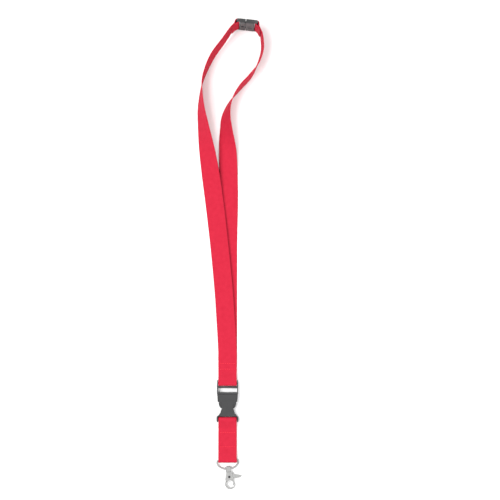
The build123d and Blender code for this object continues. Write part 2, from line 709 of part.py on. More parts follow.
with BuildPart() as hook_body:
    # the body
    with BuildSketch(hook_plane.offset(-body_thickness / 2)):
        with BuildLine():
            Polyline(
                (-neck_width / 2, -body_top),
                (-neck_width / 2 - body_swell, -pivot_below + 1),
                (-body_width / 2, -shoulder_below),
                (-foot_half_width, -eye_below + body_foot),
                (foot_half_width, -eye_below + body_foot),
                (body_width / 2, -shoulder_below),
                (neck_width / 2 + body_swell, -pivot_below + 1),
                (neck_width / 2, -body_top),
                close=True,
            )
        make_face()
        with Locations((0, -eye_below)):
            Circle(eye_inner_radius, mode=Mode.SUBTRACT)
    extrude(amount=body_thickness)
    # the eye
    with BuildSketch(hook_plane.offset(-eye_thickness / 2)):
        with Locations((0, -eye_below)):
            Circle(eye_outer_radius)
            Circle(eye_inner_radius, mode=Mode.SUBTRACT)
    extrude(amount=eye_thickness)
    # the gap that the gate closes, and the lap at the claw's tip
    with BuildSketch(hook_plane.offset(-body_thickness / 2)):
        with BuildLine():
            Polyline(
                (0, -eye_below),
                (far * cos(radians(claw_tip)), -eye_below + far * sin(radians(claw_tip))),
                (far, -shoulder_below - 1.2),
                (0, -shoulder_below - 1.2),
                close=True,
            )
        make_face()
    extrude(amount=body_thickness, mode=Mode.SUBTRACT)
    with BuildSketch(hook_plane.offset(-body_thickness / 2)) as lap:
        with Locations((0, -eye_below)):
            Circle(lap_radius)
        with BuildLine():
            Polyline(
                (0, -eye_below),
                (far * cos(radians(lap_end)), -eye_below + far * sin(radians(lap_end))),
                (far, -eye_below),
                close=True,
            )
        make_face(mode=Mode.INTERSECT)
    extrude(amount=body_thickness, mode=Mode.SUBTRACT)
    # the slot for the trigger
    with BuildSketch(hook_plane.offset(-trigger_slot / 2)):
        with Locations((slot_back + 10, -(slot_top + eye_top + 1.2) / 2)):
            Rectangle(20, eye_top + 1.2 - slot_top)
    extrude(amount=trigger_slot, mode=Mode.SUBTRACT)
    # the pin's hole and the stud's seat
    with BuildSketch(hook_plane.offset(-body_thickness / 2)):
        with Locations((0, -pivot_below)):
            Circle(pin_radius)
    extrude(amount=body_thickness, mode=Mode.SUBTRACT)
    with BuildSketch(down_plane(body_top)):
        Circle(stud_radius)
    extrude(amount=stud_seat, mode=Mode.SUBTRACT)
save(hook_body.part, "hook_body")

with BuildPart() as trigger_pin:
    with BuildSketch(hook_plane.offset(-body_thickness / 2 - pin_head_height)):
        with Locations((0, -pivot_below)):
            Circle(pin_head_radius)
    extrude(amount=pin_head_height)
    with BuildSketch(hook_plane.offset(-body_thickness / 2)):
        with Locations((0, -pivot_below)):
            Circle(pin_radius)
    extrude(amount=body_thickness)
    with BuildSketch(hook_plane.offset(body_thickness / 2)):
        with Locations((0, -pivot_below)):
            Circle(pin_head_radius)
    extrude(amount=pin_head_height)
save(trigger_pin.part, "trigger_pin")

# ==== trigger =================================================================================================
gate_outer = eye_outer_radius - 0.15
gate_inner = eye_inner_radius - 0.1
tongue_outer = lap_radius - 0.15
tongue_inner = 3.3
swing_clear = 9.9            # the gate's full-width part stays this near the pin, so that it passes the claw
spring_pocket = 1.1
spring_pocket_radius = 1.75

with BuildPart() as trigger:
    with BuildSketch(hook_plane.offset(-trigger_thickness / 2)) as gate:
        # the gate's upper part, as wide as the eye's wall
        with Locations((0, -eye_below)):
            Circle(gate_outer)
            Circle(gate_inner, mode=Mode.SUBTRACT)
        with BuildLine():
            Polyline(
                (0.6, -eye_below + 2.0),
                (2.6, -shoulder_below + 1.0),
                (8.0, -shoulder_below + 1.0),
                (8.0, -eye_below - 2.0),
                (0.6, -eye_below - 2.0),
                close=True,
            )
        make_face(mode=Mode.INTERSECT)
        with Locations((0, -pivot_below)):
            Circle(swing_clear, mode=Mode.INTERSECT)
    extrude(amount=trigger_thickness)
    with BuildSketch(hook_plane.offset(-trigger_thickness / 2)):
        # the gate's lower end, which closes inside the claw's tip
        with Locations((0, -eye_below)):
            Circle(tongue_outer)
            Circle(tongue_inner, mode=Mode.SUBTRACT)
        with BuildLine():
            Polyline(
                (0, -eye_below),
                (far * cos(radians(-28)), -eye_below + far * sin(radians(-28))),
                (far * cos(radians(12)), -eye_below + far * sin(radians(12))),
                close=True,
            )
        make_face(mode=Mode.INTERSECT)
    extrude(amount=trigger_thickness)
    with BuildSketch(hook_plane.offset(-trigger_thickness / 2)):
        with Locations((0, -pivot_below)):
            Circle(trigger_hub_radius)
        # from the hub to the gate, and the thumb lever
        with BuildLine():
            Polyline(
                (-1.6, -pivot_below - 1.6),
                (1.6, -eye_below + 3.6),
                (3.2, -eye_below + 3.0),
                (5.2, -shoulder_below - 0.6),
                (5.6, -pivot_below - 1.2),
                (2.0, -pivot_below + 1.9),
                close=True,
            )
        make_face()
        with BuildLine():
            Polyline(
                (3.4, -pivot_below - 2.2),
                (lever_reach - 1.4, -pivot_below - 1.9),
                (lever_reach, -pivot_below - 0.6),
                (lever_reach, -pivot_below + 0.6),
                (lever_reach - 2.6, -pivot_below + 1.2),
                (4.4, -pivot_below + 2.9),
                (2.0, -pivot_below + 2.0),
                close=True,
            )
        make_face()
    extrude(amount=trigger_thickness)
    with BuildSketch(hook_plane.offset(-trigger_thickness / 2)):
        with Locations((0, -pivot_below)):
            Circle(pin_radius + pin_gap)
    extrude(amount=trigger_thickness, mode=Mode.SUBTRACT)
    # the pocket for the spring
    with BuildSketch(hook_plane.offset(trigger_thickness / 2 - spring_pocket)):
        with Locations((0, -pivot_below)):
            Circle(spring_pocket_radius)
    extrude(amount=spring_pocket, mode=Mode.SUBTRACT)
save(trigger.part, "trigger")

spring_radius = pin_radius + 0.6
spring_start = hook_plane.from_local_coords(
    Vector(0, -pivot_below, trigger_thickness / 2 - spring_pocket + 0.1 + spring_wire_radius)
)
with BuildPart() as trigger_spring:
    with BuildLine() as coil:
        Helix(pitch=spring_pitch, height=spring_pitch * spring_turns, radius=spring_radius, center=spring_start)
    with BuildSketch(Plane(origin=coil.line @ 0, z_dir=coil.line % 0)):
        Circle(spring_wire_radius)
    sweep()
save(trigger_spring.part, "trigger_spring")
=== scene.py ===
import json
from math import acos, ceil, cos, degrees, pi, radians, sin, tan

import bmesh
import bpy
from mathutils import Matrix, Vector
from mathutils.bvhtree import BVHTree


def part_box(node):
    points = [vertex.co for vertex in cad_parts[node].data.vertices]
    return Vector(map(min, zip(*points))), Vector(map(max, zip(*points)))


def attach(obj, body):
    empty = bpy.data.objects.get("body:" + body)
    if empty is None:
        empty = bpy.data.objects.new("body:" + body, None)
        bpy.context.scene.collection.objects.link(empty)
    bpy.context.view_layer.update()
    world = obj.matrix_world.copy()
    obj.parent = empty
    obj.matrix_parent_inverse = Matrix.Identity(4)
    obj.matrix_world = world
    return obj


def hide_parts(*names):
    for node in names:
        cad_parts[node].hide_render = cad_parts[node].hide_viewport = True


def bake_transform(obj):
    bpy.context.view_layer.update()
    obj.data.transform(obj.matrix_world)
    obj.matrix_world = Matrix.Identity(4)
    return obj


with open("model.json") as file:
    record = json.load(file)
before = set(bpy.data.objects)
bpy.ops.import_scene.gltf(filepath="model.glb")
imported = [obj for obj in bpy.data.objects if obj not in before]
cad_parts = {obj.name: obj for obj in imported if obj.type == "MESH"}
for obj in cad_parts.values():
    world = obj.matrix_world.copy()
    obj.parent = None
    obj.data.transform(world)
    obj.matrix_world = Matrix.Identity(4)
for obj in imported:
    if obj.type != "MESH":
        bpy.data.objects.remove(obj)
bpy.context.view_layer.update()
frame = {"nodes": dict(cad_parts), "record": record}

mm = 0.001
print("frame loaded,", len(frame["nodes"]), "CAD nodes")

# lengths in these dictionaries are in millimetres, unless a comment says otherwise
buckle = {"railRise": 3.8, "barRadius": 1.3, "housingBar": -38.3, "housingBarRadius": 1.2, "ringBar": -82.3}

# the middle of the buckle's upper bar is where every route below is measured from
frameLow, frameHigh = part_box("buckle_frame")
axisX = (frameLow[0] + frameHigh[0]) / 2
barY = frameHigh[1] - buckle["railRise"] * mm
buckleMiddle = (frameLow[2] + frameHigh[2]) / 2 / mm
origin = Vector((0, 0, 0))
sideways, upward, outward = Vector((1, 0, 0)), Vector((0, 1, 0)), Vector((0, 0, 1))


def place(point):
    return Vector((axisX + point.x * mm, barY + point.y * mm, point.z * mm))


# ---- shader groups ----
def newGroup(name, inputs, outputs):
    group = bpy.data.node_groups.new(name, "ShaderNodeTree")
    for label, value in inputs.items():
        socket = group.interface.new_socket(label, in_out="INPUT", socket_type="NodeSocketFloat")
        socket.default_value = value
    for label in outputs:
        group.interface.new_socket(label, in_out="OUTPUT", socket_type="NodeSocketFloat")
    entry = group.nodes.new("NodeGroupInput")
    leave = group.nodes.new("NodeGroupOutput")
    return group, entry, leave


def feed(tree, value, socket):
    # the value is another node's output, or a plain number or colour
    if isinstance(value, bpy.types.NodeSocket):
        tree.links.new(value, socket)
    else:
        socket.default_value = value


def mathNode(tree, operation, *values, clamp=False):
    node = tree.nodes.new("ShaderNodeMath")
    node.operation = operation
    node.use_clamp = clamp
    for socket, value in zip(node.inputs, values):
        feed(tree, value, socket)
    return node.outputs[0]


def mixColour(tree, factor, first, second):
    node = tree.nodes.new("ShaderNodeMix")
    node.data_type = "RGBA"
    for socket, value in zip((node.inputs[0], node.inputs[6], node.inputs[7]), (factor, first, second)):
        feed(tree, value, socket)
    return node.outputs[2]


weaveLook = {"noiseScale": 220, "noiseDetail": 3, "yarnShare": 0.6, "noiseShare": 0.4}


def buildWeave():
    # a plain weave: yarns along and across the webbing pass over and under each other by turns; its Shade is
    # lower where the yarns dip, which is painted shade in the hollows between them, mixed with random tone from
    # noise
    group, entry, leave = newGroup(
        "weave", {"Across Pitch": 0.0005, "Along Pitch": 0.0004}, ("Height", "Shade"))
    where = group.nodes.new("ShaderNodeUVMap")
    where.uv_map = "webbing"
    parts = group.nodes.new("ShaderNodeSeparateXYZ")
    group.links.new(where.outputs[0], parts.inputs[0])
    across = mathNode(group, "DIVIDE", parts.outputs[0], entry.outputs["Across Pitch"])
    along = mathNode(group, "DIVIDE", parts.outputs[1], entry.outputs["Along Pitch"])
    acrossWave = mathNode(group, "SINE", mathNode(group, "MULTIPLY", across, pi))
    alongWave = mathNode(group, "SINE", mathNode(group, "MULTIPLY", along, pi))
    lift = mathNode(group, "MULTIPLY", mathNode(group, "MULTIPLY", acrossWave, alongWave), 0.5)
    warpTop = mathNode(group, "MULTIPLY", mathNode(group, "ABSOLUTE", acrossWave),
                       mathNode(group, "ADD", 0.5, lift))
    weftTop = mathNode(group, "MULTIPLY", mathNode(group, "ABSOLUTE", alongWave),
                       mathNode(group, "SUBTRACT", 0.5, lift))
    height = mathNode(group, "MAXIMUM", warpTop, weftTop)
    noise = group.nodes.new("ShaderNodeTexNoise")
    noise.inputs["Scale"].default_value = weaveLook["noiseScale"]
    noise.inputs["Detail"].default_value = weaveLook["noiseDetail"]
    group.links.new(where.outputs[0], noise.inputs["Vector"])
    # the yarn height part of Shade is painted shade between the yarns, and the noise part is random tone
    shade = mathNode(group, "ADD", mathNode(group, "MULTIPLY", height, weaveLook["yarnShare"]),
                     mathNode(group, "MULTIPLY", noise.outputs[0], weaveLook["noiseShare"]), clamp=True)
    group.links.new(height, leave.inputs["Height"])
    group.links.new(shade, leave.inputs["Shade"])
    return group


def buildGrain():
    # the fine texture of a moulded or plated surface, with broader patches for handling and dust
    group, entry, leave = newGroup("grain", {"Fine Scale": 3000, "Patch Scale": 90}, ("Height", "Patches"))
    where = group.nodes.new("ShaderNodeTexCoord")
    for scale, detail, target in (("Fine Scale", 2, "Height"), ("Patch Scale", 4, "Patches")):
        noise = group.nodes.new("ShaderNodeTexNoise")
        noise.inputs["Detail"].default_value = detail
        group.links.new(where.outputs["Object"], noise.inputs["Vector"])
        group.links.new(entry.outputs[scale], noise.inputs["Scale"])
        group.links.new(noise.outputs[0], leave.inputs[target])
    return group


def buildEdgeWearAndHighlight():
    # where edges stand out they are made brighter: partly rubbed wear, partly a painted highlight
    group, entry, leave = newGroup("edgeWearAndHighlight", {"Start": 0.52, "Full": 0.6}, ("Mask",))
    shape = group.nodes.new("ShaderNodeNewGeometry")
    ramp = group.nodes.new("ShaderNodeMapRange")
    group.links.new(shape.outputs["Pointiness"], ramp.inputs["Value"])
    group.links.new(entry.outputs["Start"], ramp.inputs["From Min"])
    group.links.new(entry.outputs["Full"], ramp.inputs["From Max"])
    group.links.new(ramp.outputs[0], leave.inputs["Mask"])
    return group


weaveGroup, grainGroup, edgeGroup = buildWeave(), buildGrain(), buildEdgeWearAndHighlight()


# ---- materials: pitches and bump distances are in metres ----
def useGroup(tree, group, **values):
    node = tree.nodes.new("ShaderNodeGroup")
    node.node_tree = group
    for label, value in values.items():
        node.inputs[label.replace("_", " ")].default_value = value
    return node


def newMaterial(name, settings):
    material = bpy.data.materials.new(name)
    material.use_nodes = True
    shader = material.node_tree.nodes["Principled BSDF"]
    for label, value in settings.items():
        shader.inputs[label].default_value = value
    return material, material.node_tree, shader


def addBump(tree, shader, height, look):
    bump = tree.nodes.new("ShaderNodeBump")
    bump.inputs["Strength"].default_value = look["bump"]
    bump.inputs["Distance"].default_value = look["bumpDistance"]
    tree.links.new(height, bump.inputs["Height"])
    tree.links.new(bump.outputs[0], shader.inputs["Normal"])


def addRoughness(tree, shader, patches, spread, least):
    rough = mathNode(tree, "ADD", mathNode(tree, "MULTIPLY", patches, spread), least)
    tree.links.new(rough, shader.inputs["Roughness"])


webbingLook = {
    "yarn": (0.57, 0.028, 0.058, 1), "gap": (0.34, 0.007, 0.021, 1),
    "acrossPitch": 0.00055, "alongPitch": 0.00042, "bump": 0.5, "bumpDistance": 0.00010,
    "roughness": 0.75, "specular": 0.08, "sheen": 0.02, "sheenRoughness": 0.4, "sheenTint": (1.0, 0.55, 0.6, 1),
}
threadLook = {
    "dark": (0.55, 0.004, 0.016, 1), "light": (0.85, 0.02, 0.04, 1), "fineScale": 6000, "patchScale": 400,
    "bump": 0.4, "bumpDistance": 0.00005, "roughness": 0.5, "sheen": 0.3,
}
# the lighter edge colour is partly wear and partly a painted highlight on edges that stand out
plasticLook = {
    "dark": (0.034, 0.034, 0.0345, 1), "light": (0.048, 0.048, 0.049, 1), "wornAndLit": (0.10, 0.10, 0.102, 1),
    "fineScale": 2600, "patchScale": 110, "wearAndHighlightStart": 0.52, "wearAndHighlightFull": 0.62, "wearAndHighlightShare": 0.5,
    "bump": 0.25, "bumpDistance": 0.00005, "specular": 0.36, "roughness": 0.34, "roughnessSpread": 0.2,
}
metalLook = {
    "fineScale": 1800, "patchScale": 260, "bump": 0.08, "bumpDistance": 0.00004, "roughnessSpread": 0.09,
}


def webbingMaterial():
    look = webbingLook
    material, tree, shader = newMaterial("redWebbing", {
        "Roughness": look["roughness"], "Specular IOR Level": look["specular"], "Sheen Weight": look["sheen"],
        "Sheen Roughness": look["sheenRoughness"], "Sheen Tint": look["sheenTint"],
    })
    weave = useGroup(tree, weaveGroup, Across_Pitch=look["acrossPitch"], Along_Pitch=look["alongPitch"])
    # the darker colour where the yarns dip is painted shade between them, not a different yarn
    colour = mixColour(tree, weave.outputs["Shade"], look["gap"], look["yarn"])
    tree.links.new(colour, shader.inputs["Base Color"])
    addBump(tree, shader, weave.outputs["Height"], look)
    return material


def threadMaterial():
    look = threadLook
    material, tree, shader = newMaterial(
        "redThread", {"Roughness": look["roughness"], "Sheen Weight": look["sheen"]})
    grain = useGroup(tree, grainGroup, Fine_Scale=look["fineScale"], Patch_Scale=look["patchScale"])
    colour = mixColour(tree, grain.outputs["Patches"], look["dark"], look["light"])
    tree.links.new(colour, shader.inputs["Base Color"])
    addBump(tree, shader, grain.outputs["Height"], look)
    return material


def plasticMaterial():
    look = plasticLook
    material, tree, shader = newMaterial("blackPlastic", {"Specular IOR Level": look["specular"]})
    grain = useGroup(tree, grainGroup, Fine_Scale=look["fineScale"], Patch_Scale=look["patchScale"])
    # edges that stand out get the lighter colour: partly rubbed wear, partly a painted highlight
    wearAndHighlight = useGroup(tree, edgeGroup, Start=look["wearAndHighlightStart"], Full=look["wearAndHighlightFull"])
    body = mixColour(tree, grain.outputs["Patches"], look["dark"], look["light"])
    rubbedAndLit = mathNode(tree, "MULTIPLY", wearAndHighlight.outputs[0], look["wearAndHighlightShare"])
    tree.links.new(mixColour(tree, rubbedAndLit, body, look["wornAndLit"]), shader.inputs["Base Color"])
    addRoughness(tree, shader, grain.outputs["Patches"], look["roughnessSpread"], look["roughness"])
    addBump(tree, shader, grain.outputs["Height"], look)
    return material


def metalMaterial(name, bright, dull, roughness):
    look = metalLook
    material, tree, shader = newMaterial(name, {"Metallic": 1.0})
    grain = useGroup(tree, grainGroup, Fine_Scale=look["fineScale"], Patch_Scale=look["patchScale"])
    tree.links.new(mixColour(tree, grain.outputs["Patches"], dull, bright), shader.inputs["Base Color"])
    addRoughness(tree, shader, grain.outputs["Patches"], look["roughnessSpread"], roughness)
    addBump(tree, shader, grain.outputs["Height"], look)
    return material


webbingRed, threadRed, plasticBlack = webbingMaterial(), threadMaterial(), plasticMaterial()
platedBright = metalMaterial("platedMetal", (0.74, 0.74, 0.73, 1), (0.56, 0.56, 0.55, 1), 0.08)
springGrey = metalMaterial("springSteel", (0.62, 0.62, 0.64, 1), (0.42, 0.42, 0.45, 1), 0.22)
rivetGrey = metalMaterial("rivetSteel", (0.13, 0.13, 0.135, 1), (0.06, 0.06, 0.065, 1), 0.30)
print("materials made")


def newPiece(name, bm, material):
    mesh = bpy.data.meshes.new(name)
    bm.to_mesh(mesh)
    bm.free()
    mesh.materials.append(material)
    piece = bpy.data.objects.new(name, mesh)
    bpy.context.scene.collection.objects.link(piece)
    return piece


# ---- the CAD pieces that stay as they are ----
finishes = {
    "breakaway_catch": plasticBlack, "hook_ring": platedBright, "swivel_stud": platedBright,
    "trigger_pin": rivetGrey, "trigger_spring": springGrey,
}
for nodeName, finish in finishes.items():
    node = frame["nodes"][nodeName]
    node.data.materials.clear()
    node.data.materials.append(finish)
print("CAD pieces finished")

# ---- moulded and cast pieces: copies of the CAD pieces with their edges rounded ----
bodyOf = {node: body for body, nodes in frame["record"]["behaviour"]["bodies"].items() for node in nodes}

# merge and slim are lengths, and the angles are in degrees
moulding = {"merge": 0.002, "flatAngle": 1, "levelAngle": 0.5, "sharpAngle": 28, "slim": 0.9, "segments": 3}

# each moulded piece's name, and how wide its edges are rounded
moulded = {
    "breakaway_socket": ("breakawaySocket", 0.3), "breakaway_plug": ("breakawayPlug", 0.3),
    "buckle_frame": ("buckleFrame", 0.35), "buckle_prong_left": ("prongLeft", 0.35),
    "buckle_prong_right": ("prongRight", 0.35), "buckle_housing": ("buckleHousing", 0.4),
}
cast = {
    "hook_body": {"name": "hookBody", "voxel": 0.13, "rounds": 60},
    "trigger": {"name": "triggerLever", "voxel": 0.11, "rounds": 30},
}


def copyNode(name):
    # merged, with its flat faces whole again
    bm = bmesh.new()
    bm.from_mesh(frame["nodes"][name].data)
    bmesh.ops.remove_doubles(bm, verts=bm.verts, dist=moulding["merge"] * mm)
    bmesh.ops.dissolve_limit(bm, angle_limit=radians(moulding["flatAngle"]), verts=bm.verts, edges=bm.edges)
    return bm


def standFor(piece, node):
    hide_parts(node)
    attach(piece, bodyOf[node])


def isSlim(face):
    return face.calc_area() / max(e.calc_length() for e in face.edges) < moulding["slim"] * mm


def isCurved(face):
    # it bends gently into a neighbour, and none of its long sides is level with one
    level, sharp = radians(moulding["levelAngle"]), radians(moulding["sharpAngle"])
    bends = any(level < e.calc_face_angle(0) <= sharp for e in face.edges)
    long = [e for e in face.edges if e.calc_length() > moulding["slim"] * mm]
    return bends and not any(e.calc_face_angle(1) <= level for e in long)


for nodeName, (label, edge) in moulded.items():
    bm = copyNode(nodeName)
    sharpAngle = radians(moulding["sharpAngle"])
    sharp = [e for e in bm.edges if e.is_manifold and e.calc_face_angle(0) > sharpAngle]
    # only the slim faces of a curve are smooth, so that the flat ones stay flat
    for face in bm.faces:
        face.smooth = isSlim(face) and isCurved(face)
    made = bmesh.ops.bevel(bm, geom=sharp, offset=edge * mm, offset_type="OFFSET", affect="EDGES",
                           segments=moulding["segments"], profile=0.5, material=-1, clamp_overlap=True)
    for face in made["faces"]:
        face.smooth = isSlim(face)
    piece = newPiece(label, bm, plasticBlack)
    standFor(piece, nodeName)

# grip ribs on the side of each prong that shows in the housing's window; from and to are shares of the head
ribs = {
    "count": 4, "radius": 0.32, "tall": 2.6, "sunk": 0.12, "from": 0.30, "to": 0.72, "headLength": 7.2,
    "segments": 14, "rim": 0.14, "rimAngle": 60, "rimSegments": 2,
}


def makeRibs(nodeName, label, side):
    prong = copyNode(nodeName)
    surface = BVHTree.FromBMesh(prong)
    prong.free()
    low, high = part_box(nodeName)
    outsideX = high[0] + mm if side > 0 else low[0] - mm
    middleZ = (low[2] + high[2]) / 2
    radius = ribs["radius"] * mm
    bm = bmesh.new()
    for i in range(ribs["count"]):
        share = ribs["from"] + (ribs["to"] - ribs["from"]) * i / (ribs["count"] - 1)
        outside = Vector((outsideX, low[1] + share * ribs["headLength"] * mm, middleZ))
        at, normal = surface.ray_cast(outside, Vector((-side, 0, 0)))[:2]
        centre = at - normal * ribs["sunk"] * mm
        bmesh.ops.create_cone(bm, cap_ends=True, segments=ribs["segments"], radius1=radius, radius2=radius,
                              depth=ribs["tall"] * mm, matrix=Matrix.Translation(centre))
    rims = [e for e in bm.edges if e.calc_face_angle(0) > radians(ribs["rimAngle"])]
    bmesh.ops.bevel(bm, geom=rims, offset=ribs["rim"] * mm, affect="EDGES", segments=ribs["rimSegments"],
                    profile=0.5, material=-1)
    for face in bm.faces:
        face.smooth = True
    piece = newPiece(label, bm, plasticBlack)
    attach(piece, bodyOf[nodeName])


makeRibs("buckle_prong_left", "prongRibsLeft", -1)
makeRibs("buckle_prong_right", "prongRibsRight", 1)

for nodeName, make in cast.items():
    piece = newPiece(make["name"], copyNode(nodeName), platedBright)
    remesh = piece.modifiers.new("cast", "REMESH")
    remesh.mode = "VOXEL"
    remesh.voxel_size = make["voxel"] * mm
    smooth = piece.modifiers.new("rounds", "SMOOTH")
    smooth.iterations = make["rounds"]
    shape = bpy.data.meshes.new_from_object(piece.evaluated_get(bpy.context.evaluated_depsgraph_get()))
    piece.modifiers.clear()
    piece.data = shape
    shape.shade_smooth()
    standFor(piece, nodeName)
print("moulded and cast pieces made")

# ---- webbing ----
# step, cornerStep and foldPieces set how finely it is divided along its route, acrossPieces across it
webbing = {
    "width": 20.0, "thickness": 1.0, "layerGap": 0.3, "foldGap": 0.3, "sewnGap": 0.1, "ringFoldGap": 0.4,
    "selvedge": 0.06, "selvedgeShare": 0.95, "edgeAngles": (36, 72, 108, 144), "bend": 0.95,
    "acrossPieces": 10, "step": 1.6, "cornerStep": 0.5, "foldPieces": 14, "shortest": 1e-6, "merge": 0.01,
}
halfWidth, halfThick = webbing["width"] / 2, webbing["thickness"] / 2
upperLayer = webbing["thickness"] + webbing["layerGap"]
foldRadius = buckle["barRadius"] + webbing["foldGap"] + halfThick

# across, up from the bar, lean of the webbing in degrees, how far the lower edge is held off the surface
leftKeys = [
    (0.0, 0.0, 0, buckleMiddle + foldRadius - halfThick),
    (0.0, 7.0, 0, 3.5),
    (0.0, 13.0, 0, 1.8),
    (-0.1, 25.0, 0, upperLayer + 0.35),
    (-0.3, 40.0, 0, upperLayer + 0.1),
    (-2.0, 69.0, 3, upperLayer - 0.15),
    (-4.2, 101.0, 6, upperLayer - 0.5),
    (-8.3, 144.0, 9, 0.0),
    (-12.5, 182.0, 8, 0.0),
    (-15.9, 209.0, 9, 0.0),
    (-20.5, 241.7, 23, 0.0),
    (-25.8, 277.0, 52, 0.0),
    (-28.4, 299.0, 69, 0.0),
    (-27.7, 322.0, 87, 0.0),
    (-23.3, 338.0, 96, 0.1),
    (-15.5, 354.4, 100, 0.8),
    (-3.5, 370.6, 99, 2.2),
]
rightKeys = [
    (0.0, 0.0, 0, buckleMiddle - foldRadius - halfThick),
    (0.0, 13.0, 0, 0.35),
    (0.2, 26.0, 0, 0.05),
    (0.3, 60.0, 0, 0.0),
    (0.4, 144.0, 0, 0.0),
    (1.3, 198.0, 0, 0.0),
    (1.0, 226.0, 2, 0.0),
    (0.4, 248.5, 15, 0.0),
    (-1.2, 273.0, 46, 0.0),
    (-1.4, 288.0, 61, 0.0),
    (2.9, 303.8, 81, 0.0),
    (13.2, 319.0, 96, 0.0),
    (24.8, 332.0, 96, 0.0),
    (33.0, 345.4, 85, 0.2),
    (37.5, 360.0, 83, 0.9),
]

# the breakaway stands on its edge; lean, turn, leftTurn and rightTurn are in degrees
clip = {
    "seamAcross": 19.6, "seamUp": 386.9, "lean": 12.5, "turn": 6.0, "width": 22.8, "thickness": 4.6,
    "barRadius": 1.1, "leftBar": 9.0, "rightBar": 12.0, "leftTurn": 54.7, "rightTurn": 60.5,
}
lean, turn = radians(clip["lean"]), radians(clip["turn"])
clipAlong = Vector((cos(turn), -sin(turn), 0))
clipAcross = Vector((sin(turn) * sin(lean), cos(turn) * sin(lean), cos(lean)))
clipOut = clipAlong.cross(clipAcross)
clipHeight = clip["width"] / 2 * cos(lean) + clip["thickness"] / 2 * sin(lean)
seam = Vector((clip["seamAcross"], clip["seamUp"], clipHeight))
leftBar = seam - clipAlong * clip["leftBar"]
rightBar = seam + clipAlong * clip["rightBar"]
leftLine = clipOut * sin(radians(clip["leftTurn"])) - clipAlong * cos(radians(clip["leftTurn"]))
rightLine = clipOut * sin(radians(clip["rightTurn"])) + clipAlong * cos(radians(clip["rightTurn"]))

# the ends folded round the breakaway's bars; merge is in bar radii, and thin is how much of its
# thickness the cut end keeps
sewnEnd = {
    "length": 11.0, "tailShort": 1.5, "joinGap": 1.2, "merge": 4, "straight": 0.8, "mergeRadius": 3,
    "leaveRadius": 1.5, "thin": (0.35, 0.6, 0.85),
}
tabStep = (webbing["thickness"] + webbing["sewnGap"]) / 2


def spread(keys):
    # smooth places between the keys, one about every step
    places = []
    for i in range(len(keys) - 1):
        before, start, end, after = keys[max(i - 1, 0)], keys[i], keys[i + 1], keys[min(i + 2, len(keys) - 1)]
        steps = ceil((Vector(end[:2]) - Vector(start[:2])).length / webbing["step"])
        for step in range(steps):
            s = step / steps
            places.append([
                b + 0.5 * s * (c - a + s * (2 * a - 5 * b + 4 * c - d + s * (3 * b - a - 3 * c + d)))
                for a, b, c, d in zip(before, start, end, after)
            ])
    return places + [list(keys[-1])]


def middleHeight(tilt):
    # how high the webbing's middle is above its lowest edge
    return halfWidth * abs(sin(radians(tilt))) + halfThick * abs(cos(radians(tilt)))


def legSections(keys, end, line):
    # each section of a webbing is its middle, its direction and the direction of its width
    side = Vector((line.y, -line.x, 0)).normalized()
    tilt = degrees(acos(max(-1, min(1, clipAcross.dot(-side)))))
    places = spread(keys + [(end.x, end.y, tilt, end.z - middleHeight(tilt))])
    middles = [Vector((across, up, lift + middleHeight(tilt))) for across, up, tilt, lift in places]
    found = []
    for i, middle in enumerate(middles):
        along = (middles[min(i + 1, len(middles) - 1)] - middles[max(i - 1, 0)]).normalized()
        side = Vector((along.y, -along.x, 0)).normalized()
        tilt = radians(places[i][2])
        width = side * cos(tilt) + Vector((0, 0, sin(tilt)))
        found.append((middle, along, (width - along * width.dot(along)).normalized()))
    found[0] = (middles[0], upward, sideways)
    found[-1] = (end, -line, clipAcross)
    return found


def rounded(points, radii, closed=False):
    # points joined by straight runs with round corners, all in one plane
    count = len(points)
    corners = range(count) if closed else range(1, count - 1)
    path = [] if closed else [points[0]]
    for i, radius in zip(corners, radii):
        here, before, after = points[i], points[i - 1], points[(i + 1) % count]
        into, out = (here - before).normalized(), (after - here).normalized()
        angle = into.angle(out)
        cut = radius * tan(angle / 2)
        bulge = (out - into).normalized()
        centre = here + bulge * radius / cos(angle / 2)
        start = here - into * cut - centre
        sweep = angle if into.cross(out) > 0 else -angle
        pieces = max(2, ceil(radius * angle / webbing["cornerStep"]))
        for k in range(pieces + 1):
            a = sweep * k / pieces
            turned = Vector((start.x * cos(a) - start.y * sin(a), start.x * sin(a) + start.y * cos(a)))
            path.append(centre + turned)
    if not closed:
        path.append(points[-1])
    full = []
    pairs = zip(path, path[1:] + path[:1]) if closed else zip(path, path[1:])
    for here, after in pairs:
        if (after - here).length < webbing["shortest"]:
            continue
        pieces = max(1, ceil((after - here).length / webbing["step"]))
        full += [here.lerp(after, k / pieces) for k in range(pieces)]
    return full + [path[0] if closed else path[-1]]


def planeSections(path, start, xAxis, yAxis, width, closed=False):
    middles = [start + xAxis * p.x + yAxis * p.y for p in path]
    last = len(middles) - 1
    found = []
    for i, middle in enumerate(middles):
        if closed:
            # the first and the last place are the same
            before, after = middles[i - 1 if i else -2], middles[i + 1 if i < last else 1]
        else:
            before, after = middles[max(i - 1, 0)], middles[min(i + 1, last)]
        found.append((middle, (after - before).normalized(), width))
    return found


